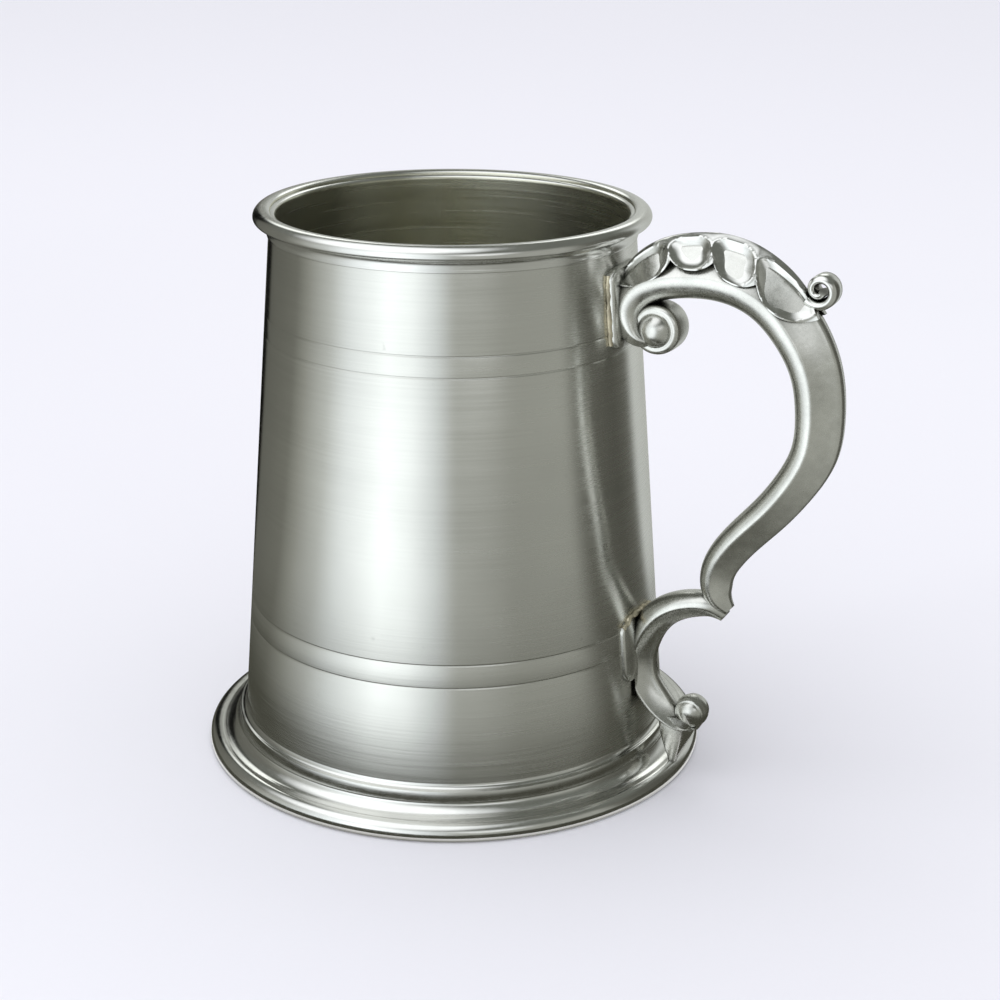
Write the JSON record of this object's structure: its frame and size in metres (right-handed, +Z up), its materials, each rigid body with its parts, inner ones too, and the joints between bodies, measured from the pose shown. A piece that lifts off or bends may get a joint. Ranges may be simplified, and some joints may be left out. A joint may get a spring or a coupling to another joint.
{
  "type": "tankard",
  "caption": "Open pewter tankard with a tapering drum, rolled mouth, spread foot and a double-scroll handle with a lobed leaf and thumb curl.",
  "frame": {"origin": "on the axis of the drum, in the plane that the foot rests on", "axes": "+Z up along the drum's axis, +X towards the handle, the handle's middle plane is XZ"},
  "size_m": [0.1426, 0.1106, 0.1208],
  "materials": {
    "satin_pewter": "satin, fine horizontal brushing",
    "polished_pewter": "burnished",
    "cast_pewter": "cast and wire-brushed",
    "solder": "soft solder, slightly rough"
  },
  "bodies": {
    "root": {"body_drum": "satin_pewter", "mouth_moulding": "polished_pewter", "floor_disc": "satin_pewter", "floor_solder": "solder", "foot_skirt": "polished_pewter", "handle_main_scroll": "cast_pewter", "handle_leaf_cap": "polished_pewter", "thumb_curl": "polished_pewter", "volute_ball": "cast_pewter", "handle_lower_scroll": "cast_pewter", "lower_scroll_ball": "polished_pewter", "handle_tail": "cast_pewter", "upper_mount_pad": "cast_pewter", "lower_mount_pad": "cast_pewter"}
  },
  "joints": []
}
